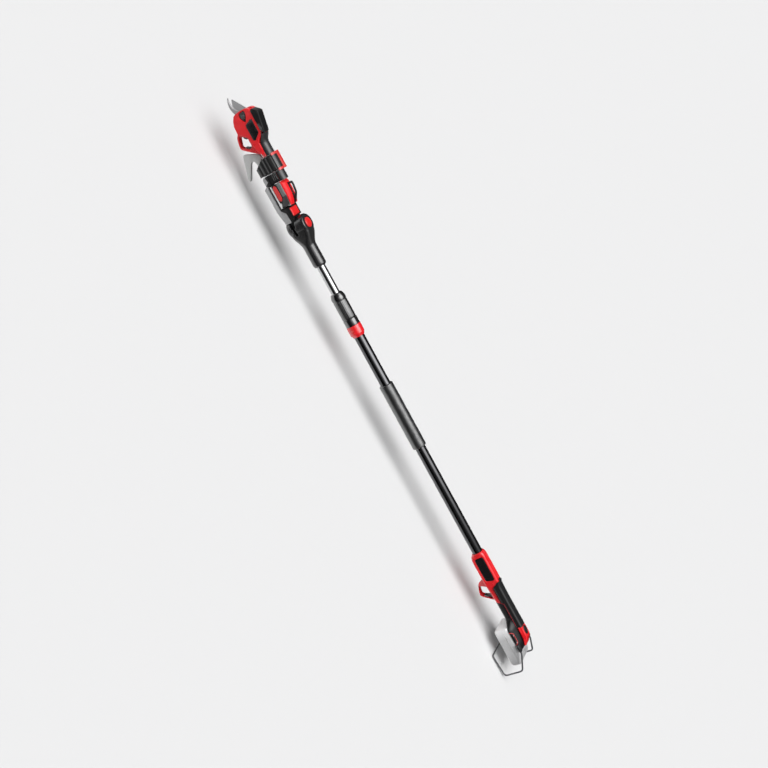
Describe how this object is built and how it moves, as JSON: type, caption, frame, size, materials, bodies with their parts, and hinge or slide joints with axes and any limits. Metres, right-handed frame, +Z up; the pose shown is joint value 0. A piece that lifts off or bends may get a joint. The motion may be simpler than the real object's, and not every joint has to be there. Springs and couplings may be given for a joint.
{
  "type": "pole pruner",
  "caption": "Telescopic pole with a tilting bracket that clamps a hand-held shear, a foam grip, a rear handle with trigger and finger guard, a slide-on battery and a wire stand.",
  "frame": {"origin": "bottom centre of the bounding box, on the surface that the wire stand rests on", "axes": "+X along the pole from the blades to the battery, +Z up, -Y towards the side that the picture shows"},
  "size_m": [1.7928, 0.1132, 0.1575],
  "materials": {
    "tube_black": "gloss black anodised or lacquered tube",
    "tube_silver": "smooth drawn tube, lightly polished",
    "foam": "matt charcoal foam",
    "lead_black": "satin lead jacket",
    "nut_black": "satin ribbed plastic",
    "collet_grey": "matt plastic",
    "ring_black": "semi-gloss plastic",
    "collar_red": "satin signal red plastic",
    "yoke_black": "semi-gloss glass-filled plastic",
    "bolt_steel": "turned steel",
    "button_red": "satin signal red plastic",
    "knuckle_black": "satin plastic",
    "rail_alu": "brushed extruded aluminium",
    "cover_black": "satin plastic",
    "release_red": "satin signal red plastic",
    "adapter_black": "satin plastic",
    "inlay_red": "satin signal red plastic",
    "saddle_black": "matt ribbed plastic",
    "band_black": "matt ribbed band",
    "wire_steel": "bright wire",
    "latch_red": "satin signal red plastic",
    "hook_grey": "mid-grey satin coating",
    "shears_red": "satin signal red plastic",
    "panel_black": "bare semi-gloss panel",
    "shears_cover_black": "satin plastic",
    "grip_rubber": "matt soft-touch rubber",
    "blade_steel": "ground blade steel",
    "gear_steel": "cut steel",
    "gearbox_grey": "die-cast",
    "motor_steel": "drawn can",
    "switch_black": "moulded plastic",
    "trigger_black": "satin plastic",
    "foot_grey": "matt grey-green plastic",
    "foot_red": "satin signal red plastic",
    "loop_black": "satin plastic",
    "handle_red": "satin signal red plastic",
    "handle_panel_black": "bare semi-gloss panel",
    "handle_rubber": "matt soft-touch rubber",
    "handle_black": "satin plastic",
    "battery_foot_black": "satin plastic",
    "foot_inlay_red": "satin signal red plastic",
    "foot_cap_red": "satin signal red plastic",
    "button_black": "smooth key pad",
    "terminal_grey": "moulded plastic",
    "rear_trigger_black": "satin plastic",
    "lock_black": "satin plastic",
    "pack_grey": "pale grey satin plastic",
    "pack_button_grey": "pale grey satin plastic",
    "stand_steel": "dark coated wire"
  },
  "bodies": {
    "pole": {"outer_tube": "tube_black", "collet": "collet_grey", "clamp_ring": "ring_black", "tube_collar": "collar_red", "foam_grip": "foam", "coiled_lead": "lead_black", "handle_shell_left": "handle_red", "handle_shell_right": "handle_red", "handle_panel_left": "handle_panel_black", "handle_panel_right": "handle_panel_black", "handle_grip": "handle_rubber", "handle_body": "handle_black", "rear_switch": "switch_black", "battery_foot": "battery_foot_black", "foot_cap": "foot_cap_red", "foot_inlay_left": "foot_inlay_red", "foot_inlay_right": "foot_inlay_red", "terminal_block": "terminal_grey", "wire_stand": "stand_steel"},
    "lock_nut": {"clamp_nut": "nut_black"},
    "inner_pole": {"inner_tube": "tube_silver", "fork_yoke": "yoke_black", "pivot_bolt": "bolt_steel"},
    "joint_button": {"tilt_button": "button_red"},
    "head": {"tilt_knuckle": "knuckle_black", "support_rail": "rail_alu", "rail_cover": "cover_black", "adapter_body": "adapter_black", "adapter_inlay_left": "inlay_red", "adapter_inlay_right": "inlay_red", "clamp_saddle": "saddle_black", "clamp_band": "band_black", "band_wire_front": "wire_steel", "band_wire_rear": "wire_steel", "pull_hook": "hook_grey", "shears_shell_left": "shears_red", "shears_shell_right": "shears_red", "shears_panel_left": "panel_black", "shears_panel_right": "panel_black", "shears_cover": "shears_cover_black", "shears_grip": "grip_rubber", "counter_blade": "blade_steel", "blade_bolt": "bolt_steel", "shears_gearbox": "gearbox_grey", "shears_motor": "motor_steel", "shears_switch": "switch_black", "shears_foot": "foot_grey", "shears_foot_cap": "foot_red", "hanger_loop": "loop_black"},
    "latch": {"latch_lever": "latch_red"},
    "adapter_release": {"release_button": "release_red"},
    "blade": {"cutting_blade": "blade_steel"},
    "pinion": {"drive_pinion": "gear_steel"},
    "shears_pull": {"shears_trigger": "trigger_black"},
    "shears_catch": {"safety_catch": "trigger_black"},
    "rear_pull": {"rear_trigger": "rear_trigger_black"},
    "lock_off": {"lock_off_button": "lock_black"},
    "power": {"power_button": "button_black"},
    "battery": {"battery_pack": "pack_grey"},
    "battery_release": {"pack_button": "pack_button_grey"}
  },
  "joints": [
    {"name": "telescope", "type": "slide", "parent": "pole", "child": "inner_pole", "axis": [-1, 0, 0], "range_m": [0, 0.6]},
    {"name": "nut_twist", "type": "hinge", "parent": "pole", "child": "lock_nut", "pos_m": [-0.26544, 0, 0.09289], "axis": [1, 0, 0], "range_deg": [0, 90]},
    {"name": "head_tilt", "type": "hinge", "parent": "inner_pole", "child": "head", "pos_m": [-0.51344, 0, 0.09289], "axis": [0, 0, 1], "range_deg": [-60, 60]},
    {"name": "tilt_button_press", "type": "slide", "parent": "inner_pole", "child": "joint_button", "axis": [0, 0, -1], "range_m": [0, 0.003], "stiffness_N_per_m": 2000},
    {"name": "latch_open", "type": "hinge", "parent": "head", "child": "latch", "pos_m": [-0.69344, 0.0166, 0.13689], "axis": [-1, 0, 0], "range_deg": [0, 90]},
    {"name": "adapter_release_press", "type": "slide", "parent": "head", "child": "adapter_release", "axis": [0, 0, -1], "range_m": [0, 0.002], "stiffness_N_per_m": 2000},
    {"name": "blade_swing", "type": "hinge", "parent": "head", "child": "blade", "pos_m": [-0.83444, 0, 0.11289], "axis": [0, 1, 0], "range_deg": [-2, 40]},
    {"name": "pinion_spin", "type": "hinge", "parent": "head", "child": "pinion", "pos_m": [-0.81044, 0, 0.11289], "axis": [1, 0, 0], "range_deg": [-146, 8]},
    {"name": "shears_trigger_pull", "type": "hinge", "parent": "head", "child": "shears_pull", "pos_m": [-0.75244, 0, 0.09589], "axis": [0, -1, 0], "range_deg": [0, 6], "stiffness_Nm_per_rad": 3},
    {"name": "safety_catch_press", "type": "slide", "parent": "head", "child": "shears_catch", "axis": [-0.6822, 0, 0.7312], "range_m": [0, 0.003], "stiffness_N_per_m": 800},
    {"name": "rear_trigger_pull", "type": "hinge", "parent": "pole", "child": "rear_pull", "pos_m": [0.66656, 0, 0.08029], "axis": [0, -1, 0], "range_deg": [0, 4], "stiffness_Nm_per_rad": 5},
    {"name": "lock_off_slide", "type": "slide", "parent": "pole", "child": "lock_off", "axis": [-1, 0, 0], "range_m": [0, 0.003], "stiffness_N_per_m": 500},
    {"name": "power_press", "type": "slide", "parent": "pole", "child": "power", "axis": [0, 0, -1], "range_m": [0, 0.0015], "stiffness_N_per_m": 2000},
    {"name": "battery_slide", "type": "slide", "parent": "pole", "child": "battery", "axis": [1, 0, 0], "range_m": [0, 0.085]},
    {"name": "battery_release_press", "type": "slide", "parent": "battery", "child": "battery_release", "axis": [-0.28, 0, -0.96], "range_m": [0, 0.002], "stiffness_N_per_m": 2000}
  ],
  "couplings": [
    {"joint": "pinion_spin", "follows": "blade_swing", "ratio": -3.6}
  ]
}
